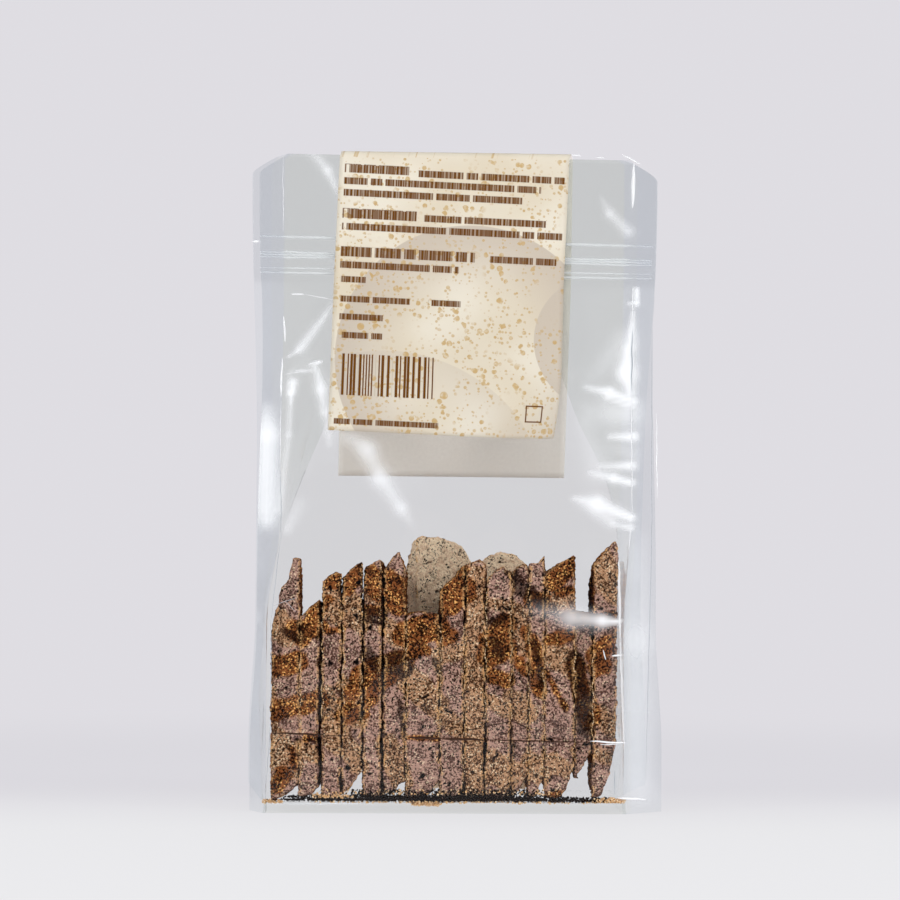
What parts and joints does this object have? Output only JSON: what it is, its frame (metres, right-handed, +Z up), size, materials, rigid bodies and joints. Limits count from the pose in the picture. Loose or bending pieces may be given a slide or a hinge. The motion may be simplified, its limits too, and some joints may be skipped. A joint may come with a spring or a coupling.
{
  "type": "zip pouch of biscotti",
  "caption": "Clear flat-bottomed zip pouch filled with upright biscotti slices, with a folded paper label over its top edge.",
  "frame": {"origin": "middle of the pouch's base, on the surface it stands on", "axes": "+Z up to the label's fold, front panel towards -Y, +X to the right seen from the front"},
  "size_m": [0.1316, 0.0626, 0.2129],
  "materials": {
    "film": "clear gloss film",
    "label_paper": "matte printed paper",
    "biscuit": "dry baked crumb, matte",
    "crumbs": "dry baked crumbs, matte"
  },
  "bodies": {
    "root": {"pouch": "film", "label": "label_paper"}
  },
  "joints": []
}
